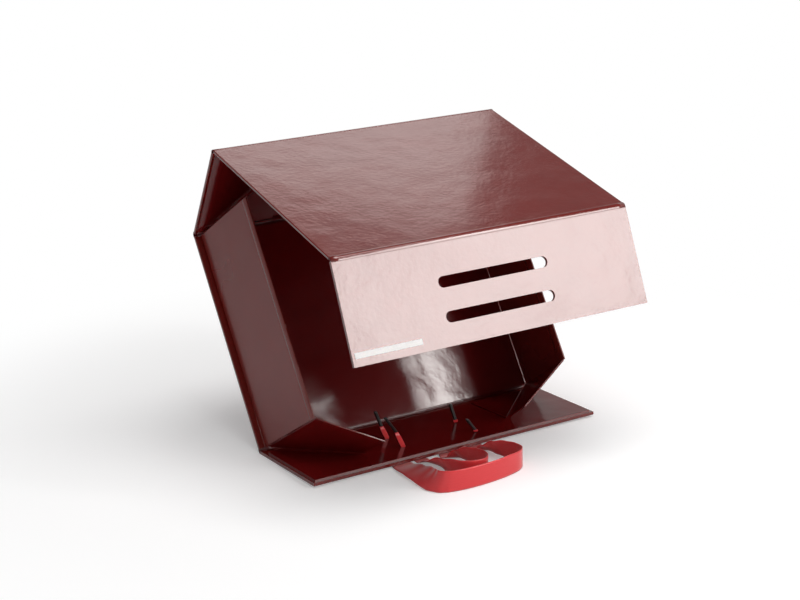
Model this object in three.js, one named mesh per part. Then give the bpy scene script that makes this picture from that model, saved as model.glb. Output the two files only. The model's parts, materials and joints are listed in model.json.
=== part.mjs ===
import * as THREE from 'three';

// Rigid gift box, standing open on its front wall. Millimetres, +Z up, front of the box towards -Y.

// Panels of the cover, each measured between the fold axes or from the last axis to the free edge
const BOX_LENGTH = 310;
const BASE_PITCH = 217.3;
const SPINE_PITCH = 103;
const LID_PITCH = 218.6;
const FLAP_REACH = 91.8;
const FRONT_REACH = 103.2;
const COVER_BOARD = 3;
const FOLD_SETBACK = 1.65;

// Angles of the panels from straight up, positive towards the front
const BASE_LEAN = -32;
const SPINE_LEAN = 29.6;
const LID_LEAN = 105;
const FLAP_LEAN = 158.4;
const FRONT_LIFT = 1.1;

// Paper strips in the folds
const STRIP_WIDTH = 2.6;
const STRIP_THICKNESS = 0.6;

// Tray inside the cover
const TRAY_BOARD = 1.5;
const TRAY_LEFT = 7.3;
const TRAY_RIGHT_INSET = 7;
const TRAY_RIGHT = BOX_LENGTH - TRAY_RIGHT_INSET;
const TRAY_START = 2.5;
const TRAY_END_GAP = 2.8;
const WALL_HEIGHT = 98;
const WALL_START = 3;
const LEFT_WALL_LEAN = 4.1;
const RIGHT_WALL_LEAN = 8;
const REST_GAP = 0.3;
const FACING_INSET = 3;
const FACING_REAR = 12.5;

// Web corners between the side walls and the front wall or the spine
const WEB_REACH = 64;
const WEB_LIFT = 70;
const WEB_END = 40;
const REAR_WEB_END = 26;
const WEB_FOLD_LENGTH = 75;
const WEB_GAP = 1;
const TRIANGLE_BOARD = 1;
const TRIANGLE_SET_BACK = 3.5;
const TRIANGLE_CORNER_BACK = 14;

// Slots for the handles in the front flap
const SLOT_LENGTH = 115;
const SLOT_WIDTH = 10;
const SLOT_CENTRE_X = 154.5;
const UPPER_SLOT_DOWN = 36.5;
const LOWER_SLOT_DOWN = 67;

// Blank label on the front flap
const LABEL_LENGTH = 66.5;
const LABEL_HEIGHT = 5;
const LABEL_LEFT = 2.6;
const LABEL_DOWN = 82.5;
const LABEL_THICKNESS = 0.3;

// Ribbon handles
const RIBBON_WIDTH = 19.5;
const RIBBON_THICKNESS = 0.5;
const NECK_WIDTH = 4;
const NECK_THICKNESS = 2.4;
const HOLE_DIAMETER = 6.4;
const TIP_WIDTH = 3.5;
const TIP_THICKNESS = 2.4;
const HOLE_TOP = 5.9;
const RIBBON_STEPS = 4;

const DEGREE = Math.PI / 180;
const HALF = COVER_BOARD / 2;

const paint = {
  paper: new THREE.MeshStandardMaterial({ name: 'red_paper', color: 0x9c1c20, roughness: 0.25 }),
  lining: new THREE.MeshStandardMaterial({ name: 'red_tray_paper', color: 0x8a1216, roughness: 0.3 }),
  strip: new THREE.MeshStandardMaterial({ name: 'red_fold_strip', color: 0x7a1014, roughness: 0.35 }),
  ribbon: new THREE.MeshStandardMaterial({ name: 'red_ribbon', color: 0xc02020, roughness: 0.4 }),
  tip: new THREE.MeshStandardMaterial({ name: 'black_tip', color: 0x101010, roughness: 0.4 }),
  label: new THREE.MeshStandardMaterial({ name: 'white_label', color: 0xf2f2f2, roughness: 0.6 }),
};

const whole = new THREE.Group();

function addMesh(name, geometry, material, frame) {
  const mesh = new THREE.Mesh(geometry, material.clone());
  mesh.name = name;
  mesh.applyMatrix4(frame);
  whole.add(mesh);
  return mesh;
}

function turned(parent, dy, dz, angle) {
  const step = new THREE.Matrix4().makeTranslation(0, dy, dz);
  const turn = new THREE.Matrix4().makeRotationX(angle * DEGREE);
  return parent.clone().multiply(step).multiply(turn);
}

function slab(x0, x1, y0, y1, z0, z1) {
  const box = new THREE.BoxGeometry(x1 - x0, y1 - y0, z1 - z0);
  return box.translate((x0 + x1) / 2, (y0 + y1) / 2, (z0 + z1) / 2);
}

function outline(points) {
  return new THREE.Shape(points.map((p) => new THREE.Vector2(p[0], p[1])));
}

// A plate with its outline in x and z and its thickness from y0 to y1
function plate(shape, y0, y1) {
  const solid = new THREE.ExtrudeGeometry(shape, { depth: y1 - y0, bevelEnabled: false, curveSegments: 10 });
  solid.rotateX(90 * DEGREE);
  return solid.translate(0, y1, 0);
}

// Frames of the panels. x runs along the box, z along the panel, y is its outward or upward normal
const foldHalf = (90 - FRONT_LIFT - BASE_LEAN) / 2;
const foldInset = HALF / Math.sin(foldHalf * DEGREE);
const foldDirection = BASE_LEAN + foldHalf;
const foldY = -Math.sin(foldDirection * DEGREE) * foldInset;
const foldZ = Math.cos(foldDirection * DEGREE) * foldInset;
const ground = new THREE.Matrix4();
const baseFrame = turned(ground, foldY, foldZ, BASE_LEAN);
const spineFrame = turned(baseFrame, 0, BASE_PITCH, SPINE_LEAN - BASE_LEAN);
const lidFrame = turned(spineFrame, 0, SPINE_PITCH, LID_LEAN - SPINE_LEAN);
const flapFrame = turned(lidFrame, 0, LID_PITCH, FLAP_LEAN - LID_LEAN);
const frontFrame = turned(ground, foldY, foldZ, 90 - FRONT_LIFT);

// Cover boards
function board(name, frame, length) {
  addMesh(name, slab(0, BOX_LENGTH, -HALF, HALF, FOLD_SETBACK, length), paint.paper, frame);
}
board('base_panel', baseFrame, BASE_PITCH - FOLD_SETBACK);
board('spine_panel', spineFrame, SPINE_PITCH - FOLD_SETBACK);
board('lid_panel', lidFrame, LID_PITCH - FOLD_SETBACK);

function rectangle(x0, x1, z0, z1) {
  return outline([[x0, z0], [x1, z0], [x1, z1], [x0, z1]]);
}

// Front flap with two long slots
const flapShape = rectangle(0, BOX_LENGTH, FOLD_SETBACK, FLAP_REACH);
for (const down of [UPPER_SLOT_DOWN, LOWER_SLOT_DOWN]) {
  const slot = new THREE.Path();
  const straight = (SLOT_LENGTH - SLOT_WIDTH) / 2;
  slot.absarc(SLOT_CENTRE_X + straight, down, SLOT_WIDTH / 2, -90 * DEGREE, 90 * DEGREE, false);
  slot.absarc(SLOT_CENTRE_X - straight, down, SLOT_WIDTH / 2, 90 * DEGREE, 270 * DEGREE, false);
  flapShape.holes.push(slot);
}
addMesh('front_flap', plate(flapShape, -HALF, HALF), paint.paper, flapFrame);

// Label on the outer face of the flap
const labelBottom = HALF;
const labelTop = HALF + LABEL_THICKNESS;
const labelGeometry = slab(
  LABEL_LEFT, LABEL_LEFT + LABEL_LENGTH, labelBottom, labelTop,
  LABEL_DOWN - LABEL_HEIGHT / 2, LABEL_DOWN + LABEL_HEIGHT / 2,
);
addMesh('blank_label', labelGeometry, paint.label, flapFrame);

// Ribbon anchors: the hole, the end of the red tail and the end of the black tip
const anchors = {
  outerLeft: { hole: [110, -48], tail: [104.5, -48, 18], tip: [98, -48, 34.5] },
  outerRight: { hole: [187.5, -82], tail: [187, -82, 6.8], tip: [177, -82, 20] },
  innerLeft: { hole: [110.5, -76], tail: [103.5, -76, 21], tip: [92, -75.5, 38] },
  innerRight: { hole: [187, -48.5], tail: [186.6, -48.5, 6.8], tip: [181, -48.5, 24] },
};

// Front wall and its inner facing, with a round hole for each ribbon end
function frontPlate(x0, x1, z0, z1) {
  const shape = rectangle(x0, x1, z0, z1);
  for (const anchor of Object.values(anchors)) {
    const hole = new THREE.Path();
    const along = (-anchor.hole[1] + foldY) / Math.cos(FRONT_LIFT * DEGREE);
    hole.absarc(anchor.hole[0], along, HOLE_DIAMETER / 2, 0, 360 * DEGREE, false);
    shape.holes.push(hole);
  }
  return shape;
}
const wallShape = frontPlate(0, BOX_LENGTH, FOLD_SETBACK, FRONT_REACH);
addMesh('front_wall', plate(wallShape, -HALF, HALF), paint.paper, frontFrame);
const facingTop = HALF + TRAY_BOARD;
const facingShape = frontPlate(FACING_INSET, BOX_LENGTH - FACING_INSET, FACING_REAR, FRONT_REACH - FACING_INSET);
addMesh('front_wall_facing', plate(facingShape, HALF, facingTop), paint.lining, frontFrame);

// Strips that fill the folds
function strip(name, frame, turnBack) {
  const geometry = slab(0, BOX_LENGTH, -STRIP_THICKNESS / 2, STRIP_THICKNESS / 2, -STRIP_WIDTH / 2, STRIP_WIDTH / 2);
  addMesh(name, geometry, paint.strip, turned(frame, 0, 0, turnBack));
}
strip('front_fold_strip', baseFrame, foldHalf - 90);
strip('rear_fold_strip', spineFrame, (BASE_LEAN - SPINE_LEAN) / 2);
strip('lid_fold_strip', lidFrame, (SPINE_LEAN - LID_LEAN) / 2);
strip('flap_fold_strip', flapFrame, (LID_LEAN - FLAP_LEAN) / 2);

// Tray base
const trayInner = -HALF - TRAY_BOARD;
const trayEnd = BASE_PITCH - TRAY_END_GAP;
addMesh('tray_base', slab(TRAY_LEFT, TRAY_RIGHT, trayInner, -HALF, TRAY_START, trayEnd), paint.lining, baseFrame);

// Side walls, turned about their lower inner corner
const wallBase = trayInner - REST_GAP;
function wallFrame(x, lean) {
  const place = new THREE.Matrix4().makeTranslation(x, wallBase, 0);
  const turn = new THREE.Matrix4().makeRotationZ(lean * DEGREE);
  return baseFrame.clone().multiply(place).multiply(turn);
}
const leftFrame = wallFrame(TRAY_LEFT, LEFT_WALL_LEAN);
const rightFrame = wallFrame(TRAY_RIGHT, -RIGHT_WALL_LEAN);
addMesh('left_side_wall', slab(-TRAY_BOARD, 0, -WALL_HEIGHT, 0, WALL_START, trayEnd), paint.lining, leftFrame);
addMesh('right_side_wall', slab(0, TRAY_BOARD, -WALL_HEIGHT, 0, WALL_START, trayEnd), paint.lining, rightFrame);

// Web flaps: each hangs on the end of a side wall and reaches down to a diagonal line on a panel
function webFlap(name, sideFrame, wallEnd, panelFrame, panelHeight, x, end) {
  const start = new THREE.Vector3(0, 0, wallEnd).applyMatrix4(sideFrame);
  const foot = new THREE.Vector3(x, panelHeight, WEB_LIFT).applyMatrix4(panelFrame);
  const up = new THREE.Vector3(0, -1, 0).transformDirection(sideFrame);
  const across = foot.clone().sub(start);
  const rise = across.dot(up);
  across.addScaledVector(up, -rise);
  const reach = across.length();
  across.normalize();
  const normal = new THREE.Vector3().crossVectors(up, across);
  const frame = new THREE.Matrix4().makeBasis(up, across, normal).setPosition(start);
  const slope = rise / reach;
  const shape = outline([
    [WEB_GAP * slope + WEB_GAP, WEB_GAP],
    [WALL_HEIGHT, WEB_GAP],
    [rise + end, reach],
    [rise + WEB_GAP, reach],
  ]);
  const solid = new THREE.ExtrudeGeometry(shape, { depth: TRAY_BOARD, bevelEnabled: false });
  solid.translate(0, 0, -TRAY_BOARD / 2);
  addMesh(name, solid, paint.lining, frame);
}
const frontSeat = facingTop + TRIANGLE_BOARD;
const rearSeat = -HALF - TRIANGLE_BOARD;
const leftFoot = TRAY_LEFT + WEB_REACH;
const rightFoot = TRAY_RIGHT - WEB_REACH - 5;
webFlap('front_left_web_flap', leftFrame, WALL_START, frontFrame, frontSeat, leftFoot, WEB_END);
webFlap('front_right_web_flap', rightFrame, WALL_START, frontFrame, frontSeat, rightFoot, WEB_END);
webFlap('rear_left_web_flap', leftFrame, trayEnd, spineFrame, rearSeat, leftFoot, REAR_WEB_END);
webFlap('rear_right_web_flap', rightFrame, trayEnd, spineFrame, rearSeat, rightFoot, REAR_WEB_END);

// Web triangles, glued flat on the front wall and the spine
function webTriangle(name, frame, y0, y1, corner, foot, along) {
  const way = Math.sign(foot - corner);
  const shape = outline([
    [corner + way * TRIANGLE_CORNER_BACK, along],
    [corner + way * WEB_FOLD_LENGTH, along],
    [foot + way * TRIANGLE_SET_BACK, WEB_LIFT],
  ]);
  addMesh(name, plate(shape, y0, y1), paint.lining, frame);
}
const frontRow = FACING_REAR + 0.5;
const rearRow = TRAY_END_GAP + 4;
webTriangle('front_left_web_triangle', frontFrame, facingTop, frontSeat, TRAY_LEFT, leftFoot, frontRow);
webTriangle('front_right_web_triangle', frontFrame, facingTop, frontSeat, TRAY_RIGHT, rightFoot, frontRow);
webTriangle('rear_left_web_triangle', spineFrame, rearSeat, -HALF, TRAY_LEFT, leftFoot, rearRow);
webTriangle('rear_right_web_triangle', spineFrame, rearSeat, -HALF, TRAY_RIGHT, rightFoot, rearRow);

// Joins rectangular sections into one closed solid
function loft(sections) {
  const places = [];
  const faces = [];
  for (const part of sections) {
    const wide = part.wide.clone().multiplyScalar(part.width / 2);
    const thick = part.thick.clone().multiplyScalar(part.height / 2);
    for (const pair of [[-1, -1], [1, -1], [1, 1], [-1, 1]]) {
      const corner = part.centre.clone().addScaledVector(wide, pair[0]).addScaledVector(thick, pair[1]);
      places.push(corner.x, corner.y, corner.z);
    }
  }
  const last = (sections.length - 1) * 4;
  faces.push(0, 2, 1, 0, 3, 2, last, last + 1, last + 2, last, last + 2, last + 3);
  for (let i = 0; i < last; i += 4) {
    for (let k = 0; k < 4; k += 1) {
      const a = i + k;
      const b = i + ((k + 1) % 4);
      faces.push(a, b, b + 4, a, b + 4, a + 4);
    }
  }
  const point = (index) => new THREE.Vector3().fromArray(places, index * 3);
  let volume = 0;
  for (let i = 0; i < faces.length; i += 3) {
    volume += point(faces[i]).dot(point(faces[i + 1]).cross(point(faces[i + 2])));
  }
  if (volume < 0) {
    faces.reverse();
  }
  const solid = new THREE.BufferGeometry();
  solid.setAttribute('position', new THREE.Float32BufferAttribute(places, 3));
  solid.setIndex(faces);
  solid.computeVertexNormals();
  return solid;
}

// The run of a ribbon in front of its neck: x, y, tilt from flat in degrees, width as a share, height
function ribbonSections(left, right, run) {
  const stations = [];
  const neckOf = (anchor, heights) => heights.map((z) => {
    const share = Math.max(0, (z - HOLE_TOP) / (anchor.tail[2] - HOLE_TOP));
    const x = anchor.hole[0] + (anchor.tail[0] - anchor.hole[0]) * share;
    const centre = new THREE.Vector3(x, anchor.hole[1], z);
    const thick = new THREE.Vector3(0, 1, 0);
    return { centre, wide: new THREE.Vector3(1, 0, 0), thick, width: NECK_WIDTH, height: NECK_THICKNESS };
  });
  const bendOf = (anchor) => ({
    centre: new THREE.Vector3(anchor.hole[0], anchor.hole[1] - 0.5, 0.75),
    wide: new THREE.Vector3(1, 0, 0),
    thick: new THREE.Vector3(0, 1, -1).normalize(),
    width: NECK_WIDTH,
    height: RIBBON_THICKNESS * 1.4,
  });
  const curve = new THREE.CatmullRomCurve3(run.map((p) => new THREE.Vector3(p[0], p[1], 0)), false, 'centripetal');
  const steps = (run.length - 1) * RIBBON_STEPS;
  for (let i = 0; i <= steps; i += 1) {
    const at = i / steps;
    const place = curve.getPoint(at);
    const ahead = curve.getTangent(at);
    const index = Math.min(run.length - 2, Math.floor(at * (run.length - 1)));
    const part = at * (run.length - 1) - index;
    const ease = part * part * (3 - 2 * part);
    const tilt = (run[index][2] + (run[index + 1][2] - run[index][2]) * ease) * DEGREE;
    const width = RIBBON_WIDTH * (run[index][3] + (run[index + 1][3] - run[index][3]) * part);
    const raised = run[index][4] + (run[index + 1][4] - run[index][4]) * ease;
    const side = new THREE.Vector3(ahead.y, -ahead.x, 0).normalize();
    const wide = side.clone().multiplyScalar(Math.cos(tilt)).setZ(Math.abs(Math.sin(tilt)));
    const thick = new THREE.Vector3().crossVectors(ahead, wide).normalize();
    const lift = (width * Math.abs(wide.z) + RIBBON_THICKNESS * Math.abs(thick.z)) / 2;
    const centre = new THREE.Vector3(place.x, place.y, lift + raised);
    stations.push({ centre, wide, thick, width, height: RIBBON_THICKNESS });
  }
  const start = neckOf(left, [left.tail[2], HOLE_TOP, 2.6]);
  const end = neckOf(right, [2.6, HOLE_TOP, right.tail[2]]);
  return { start, bendIn: bendOf(left), stations, bendOut: bendOf(right), end };
}

function ribbon(name, left, right, run) {
  const parts = ribbonSections(left, right, run);
  const sections = [...parts.start, parts.bendIn, ...parts.stations, parts.bendOut, ...parts.end];
  for (let i = 1; i < sections.length; i += 1) {
    if (sections[i].wide.dot(sections[i - 1].wide) < 0) {
      sections[i].wide.negate();
    }
    if (sections[i].thick.dot(sections[i - 1].thick) < 0) {
      sections[i].thick.negate();
    }
  }
  addMesh(name, loft(sections), paint.ribbon, ground);
}

ribbon('outer_ribbon_handle', anchors.outerLeft, anchors.outerRight, [
  [109.2, -51, 180, 0.25, 0],
  [99.5, -76, 180, 0.52, 0],
  [92, -104, 177, 1, 0],
  [89, -128, 164, 1.05, 1.5],
  [86.5, -148, 150, 1.1, 1.5],
  [84, -163, 130, 1.05, 0.4],
  [85, -173, 108, 1, 0],
  [90, -179, 95, 1, 0],
  [98, -182, 90, 1, 0],
  [110, -183.6, 90, 1, 0],
  [126, -183.7, 90, 1, 0],
  [142, -182.4, 90, 1, 0],
  [158, -179.4, 90, 1, 0],
  [172, -174.5, 90, 0.95, 0],
  [181, -166, 90, 0.9, 0],
  [182.5, -155, 94, 0.9, 0],
  [178, -144, 104, 0.95, 0],
  [173, -134, 122, 1, 0],
  [169.5, -125, 146, 1, 0],
  [168.5, -118, 168, 0.95, 0],
  [169.5, -111, 179, 0.9, 0],
  [172.5, -103, 180, 0.72, 0],
  [184.2, -85.5, 180, 0.22, 0],
]);

ribbon('inner_ribbon_handle', anchors.innerLeft, anchors.innerRight, [
  [110.3, -79, 0, 0.25, 0],
  [113, -104, 0, 0.7, 0],
  [112, -124, 25, 0.95, 0],
  [110.5, -144, 62, 1, 0],
  [113, -160, 84, 1, 0],
  [120, -170, 90, 1, 0],
  [132, -173.5, 90, 1, 0],
  [141, -169.5, 90, 1, 0],
  [145, -160, 90, 1, 0],
  [144, -149, 94, 1, 0],
  [141.5, -138, 108, 1, 0],
  [138.5, -127, 136, 1, 0],
  [137, -118, 168, 0.95, 0],
  [138, -111, 179, 0.9, 0],
  [142, -100, 180, 0.7, 0],
  [160, -76, 180, 0.35, 0],
  [183.8, -53, 180, 0.22, 0],
]);

// Black tips on the ends of the ribbons
function tip(name, anchor) {
  const from = new THREE.Vector3(...anchor.tail);
  const to = new THREE.Vector3(...anchor.tip);
  from.z += 0.02;
  const wide = new THREE.Vector3(1, 0, 0);
  const thick = new THREE.Vector3(0, 1, 0);
  const ends = [from, to].map((centre) => ({ centre, wide, thick, width: TIP_WIDTH, height: TIP_THICKNESS }));
  addMesh(name, loft(ends), paint.tip, ground);
}
tip('outer_left_ribbon_tip', anchors.outerLeft);
tip('outer_right_ribbon_tip', anchors.outerRight);
tip('inner_left_ribbon_tip', anchors.innerLeft);
tip('inner_right_ribbon_tip', anchors.innerRight);

// The box is centred over the origin and stands on the ground
const bounds = new THREE.Box3().setFromObject(whole, true);
const middle = bounds.getCenter(new THREE.Vector3());
whole.position.set(-middle.x, -middle.y, -bounds.min.z);

const root = new THREE.Group();
root.name = 'rigid_gift_box';
root.add(whole);

export default root;
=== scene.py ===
import json
import math

import bpy
from mathutils import Matrix, Vector


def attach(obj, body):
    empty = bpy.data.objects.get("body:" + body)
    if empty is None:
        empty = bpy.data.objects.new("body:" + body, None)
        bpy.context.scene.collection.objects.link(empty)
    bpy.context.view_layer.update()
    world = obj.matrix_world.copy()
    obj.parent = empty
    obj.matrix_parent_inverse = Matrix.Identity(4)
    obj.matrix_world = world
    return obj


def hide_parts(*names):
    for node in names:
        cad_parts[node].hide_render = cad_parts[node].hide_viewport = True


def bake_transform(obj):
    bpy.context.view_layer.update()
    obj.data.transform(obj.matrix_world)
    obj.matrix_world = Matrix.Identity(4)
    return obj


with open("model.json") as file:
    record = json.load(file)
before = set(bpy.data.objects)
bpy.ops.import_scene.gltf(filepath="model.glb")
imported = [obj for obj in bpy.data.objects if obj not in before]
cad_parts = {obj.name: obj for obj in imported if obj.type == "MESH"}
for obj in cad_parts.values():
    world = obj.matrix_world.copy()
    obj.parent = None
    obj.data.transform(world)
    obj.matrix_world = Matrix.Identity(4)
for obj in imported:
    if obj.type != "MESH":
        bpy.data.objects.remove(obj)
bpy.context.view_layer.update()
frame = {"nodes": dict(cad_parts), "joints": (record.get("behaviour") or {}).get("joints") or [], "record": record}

MM = 0.001
nodes = frame["nodes"]
scene = bpy.context.scene
scene.view_settings.view_transform = "Standard"

# Sizes repeated from the CAD source, in millimetres
LENGTH = 310.0
SPINE_PITCH = 103.0
LID_PITCH = 218.6
HALF_BOARD = 1.5
SETBACK = 1.65
TRAY_LEFT, TRAY_RIGHT = 7.3, 303.0
LEFT_WALL_LEAN, RIGHT_WALL_LEAN = 4.1, -8.0

# Angles of the panels from straight up towards the front, on the way from the front wall to the flap
FRONT_RUN_LEAN, BASE_LEAN, SPINE_LEAN, LID_LEAN, FLAP_LEAN = -91.1, -32.0, 29.6, 105.0, 158.4

# Clearances of the paper sheets from the board under them, in millimetres
SHEET_LIFT = 0.02
EDGE_SINK = 0.05

# The script's own millimetres start at the left end of the front fold's outer corner, on the ground
joint_at = {joint["name"]: Vector(joint["pos_m"]) for joint in frame["joints"]}
LEFT_END = -LENGTH * MM / 2
CORNER_BEHIND_AXIS = 0.821
SHIFT = Vector((LEFT_END, joint_at["front_wall_fold"].y + CORNER_BEHIND_AXIS * MM, 0.0))


# Camera, solved from the photograph
def place_camera():
    data = bpy.data.cameras.new("camera")
    data.sensor_width, data.lens = 36.0, 81.47
    camera = bpy.data.objects.new("camera", data)
    scene.collection.objects.link(camera)
    azimuth, elevation, roll = (math.radians(a) for a in (-31.544, 16.664, -1.562))
    forward = -Vector((
        math.sin(azimuth) * math.cos(elevation),
        -math.cos(azimuth) * math.cos(elevation),
        math.sin(elevation),
    ))
    right = forward.cross(Vector((0, 0, 1))).normalized()
    up = right.cross(forward)
    right_rolled = right * math.cos(roll) + up * math.sin(roll)
    up_rolled = up * math.cos(roll) - right * math.sin(roll)
    turn = Matrix((right_rolled, up_rolled, -forward)).transposed().to_4x4()
    place = Vector((-706.6, -1408.4, 614.7)) * MM + SHIFT
    camera.matrix_world = Matrix.Translation(place) @ turn
    data.clip_start, data.clip_end = 0.05, 60.0
    scene.camera = camera


place_camera()


def srgb(text):
    """A linear colour from its usual hexadecimal form."""
    parts = [int(text[i:i + 2], 16) / 255 for i in (1, 3, 5)]
    return tuple(c / 12.92 if c <= 0.04045 else ((c + 0.055) / 1.055) ** 2.4 for c in parts) + (1.0,)


def add(tree, kind, links=None, **values):
    """A shader node with its settings and its incoming links."""
    node = tree.nodes.new(kind)
    for key, value in values.items():
        if key in node.bl_rna.properties:
            setattr(node, key, value)
        else:
            node.inputs[key.replace("_", " ")].default_value = value
    for key, source in (links or {}).items():
        tree.links.new(source, node.inputs[key])
    return node


def new_material(name):
    """A material with one plastic or paper shader, ready for its patterns."""
    material = bpy.data.materials.new(name)
    material.use_nodes = True
    tree = material.node_tree
    tree.nodes.clear()
    shader = tree.nodes.new("ShaderNodeBsdfPrincipled")
    out = tree.nodes.new("ShaderNodeOutputMaterial")
    tree.links.new(shader.outputs[0], out.inputs["Surface"])
    return material, tree, shader


def colour_between(tree, shader, pattern, deep, light):
    """Lets the pattern choose between two close colours."""
    mixed = add(tree, "ShaderNodeMix", {"Factor": pattern.outputs["Fac"]}, data_type="RGBA")
    mixed.inputs["A"].default_value = srgb(deep)
    mixed.inputs["B"].default_value = srgb(light)
    tree.links.new(mixed.outputs["Result"], shader.inputs["Base Color"])


def laminated_paper(name, deep, light, roughness, peel, wave, coat=0.0):
    """Printed art paper under a gloss film, wrapped over board.

    The board's fibres give an orange peel of about 4 mm, peel high, and the glue gives waves of about 30 mm.
    """
    material, tree, shader = new_material(name)
    place = add(tree, "ShaderNodeTexCoord").outputs["Object"]
    blotch = add(tree, "ShaderNodeTexNoise", {"Vector": place}, Scale=28.0, Detail=3.0, Roughness=0.55)
    colour_between(tree, shader, blotch, deep, light)
    grain = add(tree, "ShaderNodeTexNoise", {"Vector": place}, Scale=260.0, Detail=2.0, Roughness=0.5)
    slow = add(tree, "ShaderNodeTexNoise", {"Vector": place}, Scale=34.0, Detail=1.5, Roughness=0.4)
    first = add(tree, "ShaderNodeBump", {"Height": slow.outputs["Fac"]}, Strength=1.0, Distance=wave * MM)
    second = add(
        tree, "ShaderNodeBump", {"Height": grain.outputs["Fac"], "Normal": first.outputs["Normal"]},
        Strength=1.0, Distance=peel * MM,
    )
    tree.links.new(second.outputs["Normal"], shader.inputs["Normal"])
    smear = add(tree, "ShaderNodeTexNoise", {"Vector": place}, Scale=9.0, Detail=2.0)
    spread = add(tree, "ShaderNodeMapRange", {"Value": smear.outputs["Fac"]})
    spread.inputs["To Min"].default_value = roughness * 0.75
    spread.inputs["To Max"].default_value = roughness * 1.3
    tree.links.new(spread.outputs["Result"], shader.inputs["Roughness"])
    shader.inputs["Specular IOR Level"].default_value = 0.62
    shader.inputs["Coat Weight"].default_value = coat
    shader.inputs["Coat Roughness"].default_value = 0.12
    return material


COVER = laminated_paper("gloss laminated paper, wine red", "#66110d", "#74170f", 0.2, 0.22, 0.9, 1.0)
TRAY = laminated_paper("gloss laminated tray paper, deep red", "#5e0d0e", "#6e1112", 0.15, 0.06, 0.7, 0.0)
WALL = laminated_paper("gloss laminated wall paper, wine red", "#6b1b17", "#76201b", 0.26, 0.03, 0.5, 0.0)
# The fold paper's own red, made darker than the lining as painted shade for the fold grooves it lies in
FOLD_PAPER_SHADE_DARKENED = laminated_paper("groove_shaded fold paper, deep red", "#560d11", "#641216", 0.26, 0.12, 0.2, 0.15)


def satin_ribbon(name):
    """Woven polyester satin: fine warp threads along the ribbon, with a soft sheen."""
    material, tree, shader = new_material(name)
    run = add(tree, "ShaderNodeUVMap", uv_map="run").outputs["UV"]
    stretch = add(tree, "ShaderNodeMapping", {"Vector": run})
    stretch.inputs["Scale"].default_value = (90.0, 2500.0, 1.0)
    thread = add(tree, "ShaderNodeTexNoise", {"Vector": stretch.outputs["Vector"]}, Scale=1.0, Detail=2.0)
    colour_between(tree, shader, thread, "#d32a30", "#e63e42")
    bump = add(tree, "ShaderNodeBump", {"Height": thread.outputs["Fac"]}, Strength=0.5, Distance=0.00008)
    tree.links.new(bump.outputs["Normal"], shader.inputs["Normal"])
    shader.inputs["Roughness"].default_value = 0.36
    shader.inputs["Anisotropic"].default_value = 0.5
    shader.inputs["Sheen Weight"].default_value = 0.6
    shader.inputs["Sheen Roughness"].default_value = 0.4
    return material


def moulded_tip(name):
    """Black nylon with a fine moulded grain."""
    material, tree, shader = new_material(name)
    place = add(tree, "ShaderNodeTexCoord").outputs["Object"]
    grain = add(tree, "ShaderNodeTexNoise", {"Vector": place}, Scale=900.0, Detail=2.0)
    bump = add(tree, "ShaderNodeBump", {"Height": grain.outputs["Fac"]}, Strength=0.4, Distance=0.00005)
    tree.links.new(bump.outputs["Normal"], shader.inputs["Normal"])
    shader.inputs["Base Color"].default_value = srgb("#141212")
    shader.inputs["Roughness"].default_value = 0.3
    return material


def label_paper(name):
    """Uncoated white label stock with a faint fibre."""
    material, tree, shader = new_material(name)
    place = add(tree, "ShaderNodeTexCoord").outputs["Object"]
    fibre = add(tree, "ShaderNodeTexNoise", {"Vector": place}, Scale=700.0, Detail=4.0)
    colour_between(tree, shader, fibre, "#dcdcdc", "#f2f2f2")
    shader.inputs["Roughness"].default_value = 0.55
    return material


RIBBON = satin_ribbon("woven satin ribbon, red")
TIP = moulded_tip("moulded nylon, black")
LABEL = label_paper("uncoated label paper, white")

finish_of = {
    "red_paper": COVER, "red_tray_paper": TRAY, "red_fold_strip": FOLD_PAPER_SHADE_DARKENED,
    "red_ribbon": RIBBON, "black_tip": TIP, "white_label": LABEL,
}
slot_of = {part["node"]: part["material_slot"] for part in frame["record"]["subparts"]}


def soften(obj, width, segments=3):
    """Joins the faces and rounds the edges, as wrapped paper does."""
    for face in obj.data.polygons:
        face.use_smooth = True
    weld = obj.modifiers.new("weld", "WELD")
    weld.merge_threshold = 0.00001
    plain = obj.modifiers.new("plain", "DECIMATE")
    plain.decimate_type = "DISSOLVE"
    plain.angle_limit = math.radians(2)
    bevel = obj.modifiers.new("round", "BEVEL")
    bevel.width = width * MM
    bevel.segments = segments
    bevel.limit_method = "ANGLE"
    bevel.angle_limit = math.radians(40)
    even = obj.modifiers.new("even", "WEIGHTED_NORMAL")
    even.mode = "FACE_AREA"
    even.weight = 100
    even.keep_sharp = False


# Edge radii in millimetres
round_of = {
    "red_paper": 0.9, "red_tray_paper": 0.4, "red_fold_strip": 0.15,
    "black_tip": 0.9, "white_label": 0.08,
}
for name, node in nodes.items():
    kind = slot_of[name]
    for index in range(max(1, len(node.material_slots))):
        if node.material_slots:
            node.material_slots[index].material = finish_of[kind]
        else:
            node.data.materials.append(finish_of[kind])
    if "side_wall" in name and node.material_slots:
        node.material_slots[0].material = WALL
    if kind in round_of:
        soften(node, round_of[kind], 4 if kind == "black_tip" else 3)


def make_mesh(name, points, faces, material, body=None):
    """A smooth mesh from points in metres, riding on that body."""
    mesh = bpy.data.meshes.new(name)
    mesh.from_pydata([tuple(p) for p in points], [], faces)
    mesh.update()
    obj = bpy.data.objects.new(name, mesh)
    scene.collection.objects.link(obj)
    mesh.materials.append(material)
    for face in mesh.polygons:
        face.use_smooth = True
    if body:
        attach(obj, body)
    return obj


def direction(angle):
    """The way along a panel with that lean."""
    a = math.radians(angle)
    return Vector((0, -math.sin(a), math.cos(a)))


def outward(angle):
    """The way out of the box, square to a panel with that lean."""
    a = math.radians(angle)
    return Vector((0, math.cos(a), math.sin(a)))


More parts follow.
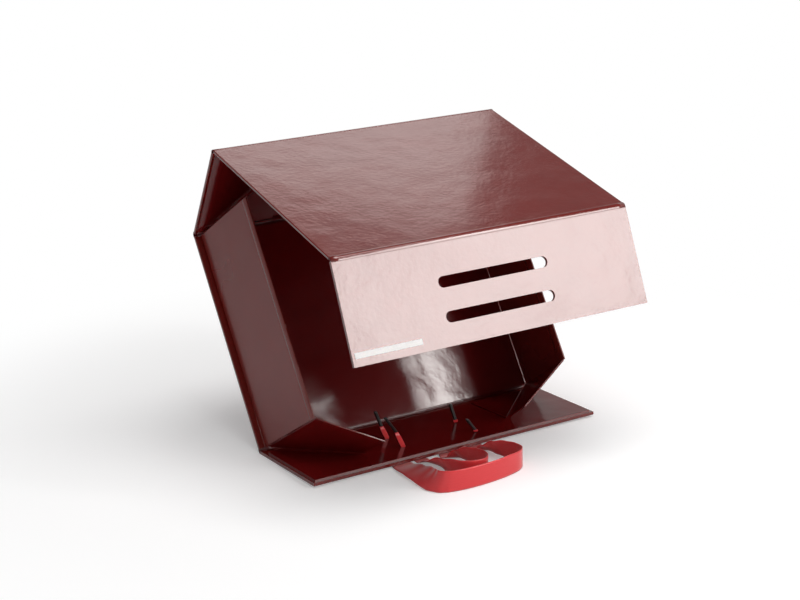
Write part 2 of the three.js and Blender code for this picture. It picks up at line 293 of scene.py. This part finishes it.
def grid_faces(columns, rows, flip=False):
    """The quads between columns + 1 rows of rows + 1 points."""
    faces = []
    for i in range(columns):
        for k in range(rows):
            a = i * (rows + 1) + k
            quad = (a, a + 1, a + rows + 2, a + rows + 1)
            faces.append(quad[::-1] if flip else quad)
    return faces


def thicken(obj, thickness, offset):
    thick = obj.modifiers.new("thick", "SOLIDIFY")
    thick.thickness = thickness * MM
    thick.offset = offset


def on_fold(name):
    """A point of that fold's axis, in the middle of the box."""
    axis = joint_at[name].copy()
    axis.x = 0.0
    return axis


# Paper over the folds: one skin on the outside and one on the inside of each fold
def fold_skin(name, axis, leans, side, reach, inset, material, bulge):
    """side is 1 outside and -1 inside; the first lean leads up to the fold."""
    run_a, run_b = (direction(lean) for lean in leans)
    out_a, out_b = (outward(lean) * side for lean in leans)
    start = axis - run_a * reach * MM + out_a * (HALF_BOARD - EDGE_SINK) * MM
    knee_a = axis - run_a * SETBACK * MM + out_a * (HALF_BOARD + SHEET_LIFT) * MM
    knee_b = axis + run_b * SETBACK * MM + out_b * (HALF_BOARD + SHEET_LIFT) * MM
    end = axis + run_b * reach * MM + out_b * (HALF_BOARD - EDGE_SINK) * MM
    middle = axis + (out_a + out_b).normalized() * bulge * MM
    profile = [start, (start + knee_a) / 2, knee_a]
    for i in range(1, 8):
        t = i / 8
        profile.append(knee_a * (1 - t) ** 2 + middle * 2 * t * (1 - t) + knee_b * t ** 2)
    profile += [knee_b, (knee_b + end) / 2, end]
    columns = 40
    points = []
    for i in range(columns + 1):
        x = (inset + (LENGTH - 2 * inset) * i / columns) * MM + LEFT_END
        points += [Vector((x, p.y, p.z)) for p in profile]
    faces = grid_faces(columns, len(profile) - 1, flip=side > 0)
    obj = make_mesh(name, points, faces, material)
    thicken(obj, 0.1, -1)
    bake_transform(obj)
    return obj


# Each fold's joint, the leans and bodies on its two sides, the inner paper's reach and the outer bulge
FOLDS = {
    "front": ("front_wall_fold", (FRONT_RUN_LEAN, BASE_LEAN), ("front", "base"), 3, 2.0),
    "rear": ("spine_fold", (BASE_LEAN, SPINE_LEAN), ("base", "spine"), 3, 2.0),
    "lid": ("lid_fold", (SPINE_LEAN, LID_LEAN), ("spine", "lid"), 6, 2.0),
    "flap": ("flap_fold", (LID_LEAN, FLAP_LEAN), ("lid", "flap"), 6, 1.95),
}
for fold, (joint, leans, bodies, inner_reach, bulge) in FOLDS.items():
    axis = on_fold(joint)
    fold_skin(fold + "_fold_outer_paper", axis, leans, 1, 2.6, 0.2, COVER, bulge)
    # The inner skin takes the darker fold paper, which paints the shade of the groove
    fold_skin(fold + "_fold_inner_paper", axis, leans, -1, inner_reach, 3, FOLD_PAPER_SHADE_DARKENED, 0.6)


# Lining sheets on the inside of the spine and lid
def lining(name, axis, lean, pitch, body):
    """A sheet between the fold at axis and the next fold, pitch away."""
    run, into = direction(lean), -outward(lean)
    base = axis + into * (HALF_BOARD + SHEET_LIFT) * MM
    end_gap, side_gap = 4, 3
    columns, rows = 30, 12
    points = []
    for i in range(columns + 1):
        for k in range(rows + 1):
            x = (side_gap + (LENGTH - 2 * side_gap) * i / columns) * MM + LEFT_END
            p = base + run * (end_gap + (pitch - 2 * end_gap) * k / rows) * MM
            points.append(Vector((x, p.y, p.z)))
    obj = make_mesh(name, points, grid_faces(columns, rows), TRAY, body)
    thicken(obj, 0.2, 1)
    return obj


lining("spine_lining", on_fold("spine_fold"), SPINE_LEAN, SPINE_PITCH, "spine")
lining("lid_lining", on_fold("lid_fold"), LID_LEAN, LID_PITCH, "lid")


# Paper wrapped over the free edges of the tray: a thin raised band beside each edge
def band(name, start, end, into, normal, width, body):
    """A strip of paper from start to end, reaching width into the face from that edge."""
    lift = 0.12
    profile = [(0.0, 0.0), (0.15, lift), (width - 0.25, lift), (width, 0.0)]
    columns = 24
    points = []
    for i in range(columns + 1):
        p = start.lerp(end, i / columns)
        wave = 0.05 * math.sin(i * 1.7) + 0.04 * math.sin(i * 0.61 + 1)
        for k, (across, up) in enumerate(profile):
            shift = across + (wave if k > 1 else 0)
            points.append(p + into * shift * MM + normal * up * MM)
    obj = make_mesh(name, points, grid_faces(columns, len(profile) - 1), WALL, body)
    return obj


def wall_laps(tag, side, x, lean):
    """The laps on the outer and inner face of a side wall, along its free edge."""
    base_run, base_in = direction(BASE_LEAN), -outward(BASE_LEAN)
    a = math.radians(lean)
    up = Vector((math.sin(a), 0, 0)) + base_in * math.cos(a)
    out = Vector((side, 0, 0)) * math.cos(a) + base_in * abs(math.sin(a))
    out = (out - up * out.dot(up)).normalized()
    foot = on_fold("front_wall_fold") + base_in * 3.3 * MM + Vector((x * MM + LEFT_END, 0, 0))
    edge = foot + up * 97.2 * MM
    first, last = base_run * 3.6 * MM, base_run * 213.8 * MM
    outer = edge + out * 1.52 * MM
    inner = edge - out * 0.02 * MM
    body = tag + "_wall"
    band(tag + "_wall_lap", outer + first, outer + last, -up, out, 6.0, body)
    band(tag + "_wall_inner_lap", inner + first, inner + last, -up, -out, 12.0, body)


wall_laps("left", -1, TRAY_LEFT, LEFT_WALL_LEAN)
wall_laps("right", 1, TRAY_RIGHT, RIGHT_WALL_LEAN)


# Ribbons: the same runs as in the CAD source: x, y, tilt, width share, height off the ground
RIBBON_WIDTH = 19.5
OUTER_RUN = [
    (109.2, -51, 180, 0.25, 0), (99.5, -76, 180, 0.52, 0), (92, -104, 177, 1, 0),
    (89, -128, 164, 1.05, 1.5), (86.5, -148, 150, 1.1, 1.5), (84, -163, 130, 1.05, 0.4),
    (85, -173, 108, 1, 0), (90, -179, 95, 1, 0), (98, -182, 90, 1, 0), (110, -183.6, 90, 1, 0),
    (126, -183.7, 90, 1, 0), (142, -182.4, 90, 1, 0), (158, -179.4, 90, 1, 0),
    (172, -174.5, 90, 0.95, 0), (181, -166, 90, 0.9, 0), (182.5, -155, 94, 0.9, 0),
    (178, -144, 104, 0.95, 0), (173, -134, 122, 1, 0), (169.5, -125, 146, 1, 0),
    (168.5, -118, 168, 0.95, 0), (169.5, -111, 179, 0.9, 0), (172.5, -103, 180, 0.72, 0),
    (184.2, -85.5, 180, 0.22, 0),
]
INNER_RUN = [
    (110.3, -79, 0, 0.25, 0), (113, -104, 0, 0.7, 0), (112, -124, 25, 0.95, 0), (110.5, -144, 62, 1, 0),
    (113, -160, 84, 1, 0), (120, -170, 90, 1, 0), (132, -173.5, 90, 1, 0), (141, -169.5, 90, 1, 0),
    (145, -160, 90, 1, 0), (144, -149, 94, 1, 0), (141.5, -138, 108, 1, 0), (138.5, -127, 136, 1, 0),
    (137, -118, 168, 0.95, 0), (138, -111, 179, 0.9, 0), (142, -100, 180, 0.7, 0),
    (160, -76, 180, 0.35, 0), (183.8, -53, 180, 0.22, 0),
]


def smooth_run(run, steps):
    """Points between the given stations on a smooth curve."""
    found = []
    for i in range(len(run) - 1):
        before, a, b, after = run[max(i - 1, 0)], run[i], run[i + 1], run[min(i + 2, len(run) - 1)]
        for k in range(steps):
            t = k / steps
            ease = t * t * (3 - 2 * t)
            place = [
                0.5 * (2 * a[c] + (b[c] - before[c]) * t
                       + (2 * before[c] - 5 * a[c] + 4 * b[c] - after[c]) * t * t
                       + (3 * a[c] - before[c] - 3 * b[c] + after[c]) * t ** 3)
                for c in (0, 1)
            ]
            tilt = a[2] + (b[2] - a[2]) * ease
            share = a[3] + (b[3] - a[3]) * t
            lift = a[4] + (b[4] - a[4]) * ease
            found.append((*place, tilt, share, lift))
    found.append(run[-1])
    return found


def neck(hole, tail):
    """The narrow end of a ribbon, up through its hole to its tip: places and widths."""
    low = Vector((*hole, 2.6))
    top = Vector((*hole, 5.9))
    end = Vector(tail)
    places = [low, (low + top) / 2, top, top.lerp(end, 0.3), top.lerp(end, 0.65), end]
    return list(zip(places, [4.2, 4.4, 4.6, 5.0, 4.8, 3.8]))


def loop_rings(run):
    """Centres, cross directions and widths along the loop, which lies on the ground."""
    flat = smooth_run(run, 12)
    rings = []
    for i, (x, y, tilt, share, raised) in enumerate(flat):
        behind, before = flat[max(i - 1, 0)], flat[min(i + 1, len(flat) - 1)]
        ahead = Vector((before[0] - behind[0], before[1] - behind[1], 0))
        side = Vector((ahead.y, -ahead.x, 0)).normalized()
        a = math.radians(tilt)
        wide = side * math.cos(a) + Vector((0, 0, math.sin(a)))
        if rings and wide.dot(rings[-1][1]) < 0:
            wide = -wide
        width = RIBBON_WIDTH * share
        rings.append((Vector((x, y, raised + width / 2 * abs(wide.z) + 0.3)), wide, width))
    return rings


def ribbon(name, run, hole_a, tail_a, hole_b, tail_b, node):
    """A ribbon from one hole, round its loop in front of the box, to the other hole."""
    loop = loop_rings(run)
    at_a = Vector((math.copysign(1, loop[0][1].x), 0, 0))
    at_b = Vector((math.copysign(1, loop[-1][1].x), 0, 0))
    bend_width, bend_back, bend_height = 4.4, 0.8, 0.9
    rings = [(place, at_a, width) for place, width in reversed(neck(hole_a, tail_a))]
    rings.append((Vector((hole_a[0], hole_a[1] - bend_back, bend_height)), at_a, bend_width))
    rings += loop
    rings.append((Vector((hole_b[0], hole_b[1] - bend_back, bend_height)), at_b, bend_width))
    rings += [(place, at_b, width) for place, width in neck(hole_b, tail_b)]
    across = 10
    points, uvs, area, travelled = [], [], 0.0, 0.0
    for i, (centre, wide, width) in enumerate(rings):
        if i:
            step = (centre - rings[i - 1][0]).length
            travelled += step
            area += step * (width + rings[i - 1][2]) / 2
        for k in range(across + 1):
            u = k / across - 0.5
            points.append((centre + wide * width * u) * MM + SHIFT)
            uvs.append((travelled * MM, width * u * MM))
    obj = make_mesh(name, points, grid_faces(len(rings) - 1, across), RIBBON, "front")
    layer = obj.data.uv_layers.new(name="run")
    for corner in obj.data.loops:
        layer.data[corner.index].uv = uvs[corner.vertex_index]
    thicken(obj, 0.45, 0)
    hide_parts(node)
    return obj


ribbon(
    "outer_ribbon", OUTER_RUN, (110, -48), (104.5, -48, 18), (187.5, -82), (187, -82, 6.8),
    "outer_ribbon_handle",
)
ribbon(
    "inner_ribbon", INNER_RUN, (110.5, -76), (103.5, -76, 21), (187, -48.5), (186.6, -48.5, 6.8),
    "inner_ribbon_handle",
)


# Floor and light
def make_floor():
    """A white floor that keeps the shadow and fades to plain white away from the box."""
    reach, level = 8.0, -0.0002
    corners = ((-reach, -reach), (reach, -reach), (reach, reach), (-reach, reach))
    mesh = bpy.data.meshes.new("floor")
    mesh.from_pydata([(x, y, level) for x, y in corners], [], [(0, 1, 2, 3)])
    floor = bpy.data.objects.new("floor", mesh)
    scene.collection.objects.link(floor)
    material = bpy.data.materials.new("studio floor, white")
    material.use_nodes = True
    tree = material.node_tree
    tree.nodes.clear()
    path = add(tree, "ShaderNodeLightPath")
    to_camera = path.outputs["Is Camera Ray"]
    diffuse = add(tree, "ShaderNodeBsdfDiffuse", Color=(0.845, 0.865, 0.885, 1))
    glow = add(tree, "ShaderNodeEmission", Color=(1, 1, 1, 1), Strength=0.24)
    none = add(tree, "ShaderNodeEmission", Color=(0, 0, 0, 1), Strength=0.0)
    pick = add(tree, "ShaderNodeMixShader", {0: to_camera, 1: none.outputs[0], 2: glow.outputs[0]})
    both = add(tree, "ShaderNodeAddShader", {0: diffuse.outputs[0], 1: pick.outputs[0]})
    place = add(tree, "ShaderNodeTexCoord").outputs["Object"]
    away = add(tree, "ShaderNodeVectorMath", {"Vector": place}, operation="LENGTH").outputs["Value"]
    fade = add(tree, "ShaderNodeMapRange", {"Value": away}, interpolation_type="SMOOTHSTEP")
    fade.inputs["From Min"].default_value = 0.3
    fade.inputs["From Max"].default_value = 0.6
    seen = add(tree, "ShaderNodeMath", {0: fade.outputs["Result"], 1: to_camera}, operation="MULTIPLY")
    white = add(tree, "ShaderNodeEmission", Color=(1, 1, 1, 1), Strength=1.0)
    whole = add(tree, "ShaderNodeMixShader", {0: seen.outputs[0], 1: both.outputs[0], 2: white.outputs[0]})
    add(tree, "ShaderNodeOutputMaterial", {"Surface": whole.outputs[0]})
    mesh.materials.append(material)


def make_world():
    """Soft light from all around, weaker from above, and plain white for the camera."""
    world = bpy.data.worlds.new("studio")
    scene.world = world
    world.use_nodes = True
    tree = world.node_tree
    tree.nodes.clear()
    place = add(tree, "ShaderNodeTexCoord").outputs["Generated"]
    height = add(tree, "ShaderNodeSeparateXYZ", {"Vector": place}).outputs["Z"]
    ramp = add(tree, "ShaderNodeMapRange", {"Value": height}, interpolation_type="SMOOTHSTEP")
    ramp.inputs["From Min"].default_value = 0.3
    ramp.inputs["From Max"].default_value = 0.6
    ramp.inputs["To Min"].default_value = 0.5
    ramp.inputs["To Max"].default_value = 0.16
    warm_white = (1.0, 0.985, 0.97, 1)
    lit = add(tree, "ShaderNodeBackground", {"Strength": ramp.outputs["Result"]}, Color=warm_white)
    seen = add(tree, "ShaderNodeBackground", Color=(1, 1, 1, 1), Strength=1.0)
    path = add(tree, "ShaderNodeLightPath")
    to_camera = path.outputs["Is Camera Ray"]
    pick = add(tree, "ShaderNodeMixShader", {0: to_camera, 1: lit.outputs[0], 2: seen.outputs[0]})
    add(tree, "ShaderNodeOutputWorld", {"Surface": pick.outputs[0]})


def softbox(name, way, distance, width, height, power):
    """An area lamp at that distance from the box, turned to it."""
    data = bpy.data.lights.new(name, "AREA")
    data.shape = "RECTANGLE"
    data.size, data.size_y = width, height
    data.energy = power
    data.color = (1.0, 0.965, 0.94)
    lamp = bpy.data.objects.new(name, data)
    scene.collection.objects.link(lamp)
    way = Vector(way).normalized()
    box_middle = Vector((0.0, -0.03, 0.14))
    lamp.location = box_middle + way * distance
    lamp.rotation_mode = "QUATERNION"
    lamp.rotation_quaternion = way.to_track_quat("Z", "Y")
    return lamp


make_floor()
make_world()
softbox("softbox_front", (0.520, -0.786, 0.334), 2.4, 1.1, 0.62, 16.0)
softbox("strip_front", (0.508, -0.667, 0.545), 2.4, 0.26, 0.5, 7.5)
softbox("panel_back", (0.388, 0.698, 0.602), 2.4, 1.0, 0.42, 1.6)
softbox("overhead", (0.1, -0.2, 1.0), 2.2, 1.6, 1.6, 34.0)
